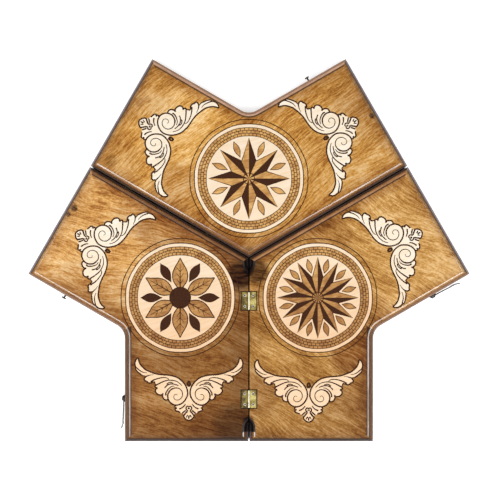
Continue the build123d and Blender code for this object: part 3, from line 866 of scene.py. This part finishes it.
wing_lines = [
    (stem[::-1] + volute[1:], heavy, heavy),
    (volute_core, fine, 0.4),
    (blade, heavy, heavy),
    (blade_fold, heavy, 0.4),
    (small_lobe, fine, heavy),
    (small_lobe_foot, heavy, 0.4),
    (first_leaf_top, 0.3, heavy),
    (first_leaf, heavy, 1.15),
    (first_leaf_lobe, 1.15, heavy),
    (first_leaf_foot, heavy, fine),
    (leaf_fold, 0.55, 1.05),
    (fan_top, 0.5, heavy),
    (fan_tip, heavy, heavy),
    (fan_lobe, heavy, heavy),
    (fan_fold, 0.75, 0.9),
    (fan_crease, 0.7, 0.9),
    (hooked_leaf, heavy, heavy),
    (hooked_leaf_fold, 0.5, 1.15),
    (foot_leaf, heavy, heavy),
    (foot_leaf_lobe, heavy, heavy),
    ([(4.8, -12.4), (6.9, -15.2), (10.0, -17.7), (13.8, -19.3)], 0.7, 1.1),
    ([(4.5, -21.4), (7.6, -23.9), (9.5, -25.8)], heavy, heavy),
    ([(1.9, -22.2), (4.6, -25.4), (7.3, -28.6)], heavy, 1.2),
    (flower, heavy, heavy),
    ([(0.0, -16.6), (1.9, -15.5), (3.9, -17.2), (3.4, -20.2), (1.4, -21.8)], 0.9, 1.05),
    ([(1.2, -28.2), (2.6, -29.6), (3.6, -31.8)], 1.0, 0.6),
    ([(0.0, 20.8), (1.6, 18.1), (1.6, 15.6), (0.0, 12.9)], 1.3, 1.6),
    ([(0.0, -19.6), (0.1, -17.6)], 1.6, 1.5),
    ([(0.0, -33.6), (0.1, -29.2)], 0.8, 1.2),
]
mask_depth = 0.00006
line_flatness = 0.08


def flat_curve(name, bevel):
    """An empty curve: filled if it has no bevel, and otherwise a round bead to be pressed flat."""
    curve = bpy.data.curves.new(name, "CURVE")
    curve.dimensions = "3D" if bevel else "2D"
    curve.fill_mode = "FULL" if bevel else "BOTH"
    curve.resolution_u = 5
    if bevel:
        curve.bevel_depth = millimetre
        curve.bevel_resolution = 1
        curve.use_fill_caps = True
    else:
        curve.extrude = mask_depth / 2
    return curve


def draw(curve, points, start_width, end_width, corners=()):
    """A smooth line through points in millimetres, whose half width goes from start to end."""
    spline = curve.splines.new("BEZIER")
    spline.bezier_points.add(len(points) - 1)
    last = len(points) - 1
    for count, (knot, (x, y)) in enumerate(zip(spline.bezier_points, points)):
        knot.co = (x * millimetre, y * millimetre, 0)
        knot.radius = start_width + (end_width - start_width) * count / last
        knot.handle_left_type = knot.handle_right_type = "VECTOR" if count in corners else "AUTO"
    return spline


def pressed_mesh(name, curve, placing, thickness):
    """The curve's mesh, pressed to its thickness and put in its place on a face."""
    drawn = bpy.data.objects.new(name, curve)
    bpy.context.scene.collection.objects.link(drawn)
    bpy.context.view_layer.update()
    finished = drawn.evaluated_get(bpy.context.evaluated_depsgraph_get())
    data = bpy.data.meshes.new_from_object(finished)
    bpy.data.objects.remove(drawn)
    data.transform(placing @ Matrix.Diagonal((1, 1, thickness, 1)))
    data.name = name
    return data


def add_piece(name, data, material, body):
    """A finished mesh as a piece of the board that rides on a shell."""
    data.materials.clear()
    data.materials.append(material)
    piece = bpy.data.objects.new(name, data)
    bpy.context.scene.collection.objects.link(piece)
    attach(piece, body)
    return piece


def bare_birch(name, wash):
    """Unstained birch, pale cream with a faint grain, warmer on the lower arm, under a wash."""
    material, tree, shader, place = finish_material(name, 0.45, 0.2, 0.16, specular=0.3)
    grain = noise(tree, stretched(tree, place, 20, (20, 220, 60)), 1.0, 4.0, 0.6)
    blush = noise(tree, place, 16, 2.0)
    tones = ((0.87, 0.71, 0.5), (0.93, 0.82, 0.66), (0.95, 0.88, 0.75))
    wood = shades(tree, grain, list(zip((0.3, 0.5, 0.7), tones)))
    wood = blend(tree, fade(tree, blush, 0.4, 0.7, 0, 0.4), wood, (0.92, 0.74, 0.53))
    lower = fade(tree, axes(tree, place)["Y"], 0.04, -0.17)
    wood = blend(tree, lower, wood, (0.94, 0.77, 0.62), "MULTIPLY")
    wood = blend(tree, 1.0, wood, wash, "MULTIPLY")
    tree.links.new(wood, shader.inputs["Base Color"])
    emboss(tree, shader, grain, 0.00004, 0.3)
    return material


def burnt_wood():
    """Lines burnt into the birch: nearly black where the point dwelt, brown at its edges."""
    material, tree, shader, place = finish_material("burnt_wood", 0.7, specular=0.1)
    char = noise(tree, place, 900, 3.0, 0.6)
    tones = ((0.026, 0.008, 0.003), (0.055, 0.018, 0.007), (0.12, 0.047, 0.02))
    tone = shades(tree, char, list(zip((0.3, 0.55, 0.75), tones)))
    tree.links.new(tone, shader.inputs["Base Color"])
    emboss(tree, shader, char, 0.00006, 0.5)
    return material


birch, burnt = bare_birch("bare_birch", (1, 1, 1)), burnt_wood()


def shell_directions(shell):
    """Unit vectors of a shell's centre line, and of its two arms with their outward sides."""
    turn = radians(shell_turns[shell])
    middle = Vector((-sin(turn), cos(turn), 0))
    arms = {}
    for side in (1, -1):
        heading = radians(90 - 60 * side) + turn
        across = radians(90 + 30 * side) + turn
        along = Vector((cos(heading), sin(heading), 0))
        arms[side] = (along, Vector((cos(across), sin(across), 0)))
    return middle, arms


def face_placing(centre, up, rise=0.0):
    """Places flat work drawn in X and Y on the decorated face, with its Y towards up."""
    lift = Matrix.Translation(Vector((centre.x, centre.y, face_z + rise)))
    return lift @ up.to_track_quat("Y", "Z").to_matrix().to_4x4()


scroll_places = {
    "upper": {"right": (0.1983, 0.0935), "left": (0.1985, 0.0918)},
    "left": {"left": (0.1969, 0.0924), "bottom": (0.1967, 0.086)},
    "right": {"bottom": (0.1992, 0.0854), "right": (0.1974, 0.0908)},
}
for shell, places in scroll_places.items():
    arms = shell_directions(shell)[1]
    for side, (arm, (reach, offset)) in zip((1, -1), places.items()):
        along, across = arms[side]
        centre = hub + along * reach + across * offset
        on_face, on_mask = (face_placing(centre, -along, rise) for rise in (0, mask_depth / 2))

        mask = flat_curve("mask", bevel=False)
        points, corners = [], {0}
        for part in wing_outline:
            if points and part[0] == points[-1]:
                part = part[1:]
            points += part
            corners.add(len(points) - 1)
        last = len(points) - 1
        mirrored = [(-x, y) for x, y in reversed(points[1:-1])]
        corners |= {2 * last - corner for corner in corners if corner}
        spline = draw(mask, points + mirrored, 1, 1, corners)
        spline.use_cyclic_u = True
        mask_data = pressed_mesh(f"{shell}_{arm}_scroll", mask, on_face, 1.0)
        add_piece(f"{shell}_{arm}_scroll", mask_data, birch, f"{shell}_shell")

        lines = flat_curve("lines", bevel=True)
        for flip in (1, -1):
            for points, start_width, end_width in wing_lines:
                draw(lines, [(flip * x, y) for x, y in points], start_width, end_width)
        line_data = pressed_mesh(f"{shell}_{arm}_scroll_lines", lines, on_mask, line_flatness)
        add_piece(f"{shell}_{arm}_scroll_lines", line_data, burnt, f"{shell}_shell")

# Roundels: a disc of bare birch in each shell's middle, with a burnt line round it and a second
# one further out in the stained ply. Each holds a wheel of its own: a ring of golden bricks
# with burnt joints round a star or rosette.
roundel_reach = 0.1137
ring_radius, disc_radius, eye_radius = 84.6, 78.2, 8.0
brick_rings = (61.0, 65.0, 69.0, 73.0)
bricks = 72
ring_line, joint_line = 0.65, 0.42
wheels = {"upper": (8, 58, 27), "left": (6, 57, 32), "right": (12, 58, 30)}

# The rosette's petals and leaves: radii in millimetres, and half widths in degrees
heart_radius = 15.0
petal_foot, petal_spread = 9, 20
rib_start, rib_margin = 12, 8
vein_shares, vein_length = (0.35, 0.5, 0.65), 0.12
leaf_foot, leaf_waist, leaf_spread = 25, 43, 9


def draw_circle(curve, radius, width=1.0):
    spline = draw(curve, [polar(radius, 30 * step) for step in range(12)], width, width)
    spline.use_cyclic_u = True


def draw_shape(curve, points, corners):
    spline = draw(curve, points, 1, 1, corners)
    spline.use_cyclic_u = True


def draw_two_sides(curve, points, width):
    """Lines along both sides of a leaf of four points, from its foot to its tip."""
    draw(curve, points[:3], width, width)
    draw(curve, points[:1] + points[:1:-1], width, width)


def draw_petal(curves, angle, half_step, tip, waist):
    """One petal of the rosette with its veins, and the dark leaf between it and the next."""
    petal = [polar(petal_foot, angle), polar(waist, angle - petal_spread)]
    petal += [polar(tip, angle), polar(waist, angle + petal_spread)]
    draw_shape(curves["stain"], petal, {0, 2})
    draw_two_sides(curves["lines"], petal, 0.7)
    draw(curves["lines"], [polar(rib_start, angle), polar(tip - rib_margin, angle)], 0.9, 0.3)
    for side in (-1, 1):
        for share in vein_shares:
            vein_angle = angle + side * (13 - 9 * share)
            vein = [polar(tip * share, angle), polar(tip * (share + vein_length), vein_angle)]
            draw(curves["lines"], vein, 0.5, 0.3)
    angle += half_step
    leaf = [polar(leaf_foot, angle), polar(leaf_waist, angle - leaf_spread)]
    leaf += [polar(tip, angle), polar(leaf_waist, angle + leaf_spread)]
    draw_shape(curves["char"], leaf, {0, 2})


def draw_ray(curves, angle, half_step, tip, valley):
    """One ray of the star, dark on one side and golden on the other, and the sprig beside it."""
    start, end = polar(valley, angle - half_step), polar(valley, angle + half_step)
    point = polar(tip, angle)
    draw_shape(curves["char"], [(0, 0), start, point], {0, 1, 2})
    draw_shape(curves["stain"], [(0, 0), point, end], {0, 1, 2})
    draw(curves["lines"], [start, point, end], 0.6, 0.6, {0, 1, 2})
    angle += half_step
    sprig = [polar(valley + 6, angle), polar(tip - 12, angle - 5)]
    sprig += [polar(tip - 1, angle), polar(tip - 12, angle + 5)]
    draw_shape(curves["stain"], sprig, {0, 2})
    draw_two_sides(curves["lines"], sprig, 0.5)


def golden_stain():
    """Birch under a thin golden stain, with the grain still showing."""
    material, tree, shader, place = finish_material("golden_stain", 0.45, specular=0.25)
    grain = noise(tree, stretched(tree, place, 15, (40, 420, 60)), 1.0, 4.0, 0.65)
    patches = noise(tree, place, 60, 3.0)
    tones = ((0.42, 0.19, 0.045), (0.66, 0.36, 0.11), (0.8, 0.5, 0.2))
    wood = shades(tree, grain, list(zip((0.3, 0.5, 0.7), tones)))
    wood = blend(tree, fade(tree, patches, 0.4, 0.65, 0, 0.6), wood, (0.5, 0.34, 0.2), "MULTIPLY")
    lower = fade(tree, axes(tree, place)["Y"], 0.06, -0.12, 0.0, 0.8)
    wood = blend(tree, lower, wood, (0.62, 0.5, 0.42), "MULTIPLY")
    tree.links.new(wood, shader.inputs["Base Color"])
    emboss(tree, shader, grain, 0.00005, 0.4)
    return material


golden = golden_stain()
disc_birch = bare_birch("disc_birch", (0.96, 0.88, 0.8))
for shell, (count, tip, waist) in wheels.items():
    has_rosette = shell == "left"
    centre_radius = heart_radius if has_rosette else eye_radius
    curves = {kind: flat_curve(kind, bevel=False) for kind in ("disc", "stain", "char")}
    curves["lines"] = flat_curve("lines", bevel=True)
    curves["stain"].extrude *= 1.5
    curves["char"].extrude *= 2

    draw_circle(curves["disc"], disc_radius)
    for radius in (brick_rings[-1], brick_rings[0]):
        draw_circle(curves["stain"], radius)
    for radius in (ring_radius, disc_radius):
        draw_circle(curves["lines"], radius, ring_line)
    for radius in brick_rings:
        draw_circle(curves["lines"], radius, joint_line)
    draw_circle(curves["lines"], centre_radius, 0.6)
    for course, (inner, outer) in enumerate(zip(brick_rings, brick_rings[1:])):
        for brick in range(bricks):
            angle = 360 / bricks * (brick + course / 2)
            joint = [polar(inner, angle), polar(outer, angle)]
            draw(curves["lines"], joint, joint_line, joint_line)

    if has_rosette:
        draw_circle(curves["char"], centre_radius)
    for step in range(count):
        draw_part = draw_petal if has_rosette else draw_ray
        draw_part(curves, 360 / count * step + 90, 180 / count, tip, waist)

    middle = shell_directions(shell)[0]
    centre = hub + middle * roundel_reach
    on_face, on_disc = (face_placing(centre, middle, rise) for rise in (0, mask_depth * 0.8))
    for kind, placing, thickness, material, slot in (
        ("disc", on_face, 1.0, disc_birch, "light_inlay"),
        ("stain", on_face, 1.0, golden, "light_inlay"),
        ("char", on_face, 1.0, burnt, "dark_inlay"),
        ("lines", on_disc, line_flatness, burnt, "dark_inlay"),
    ):
        name = f"{shell}_roundel_{kind}"
        data = pressed_mesh(name, curves[kind], placing, thickness)
        add_piece(name, data, material, f"{shell}_shell")
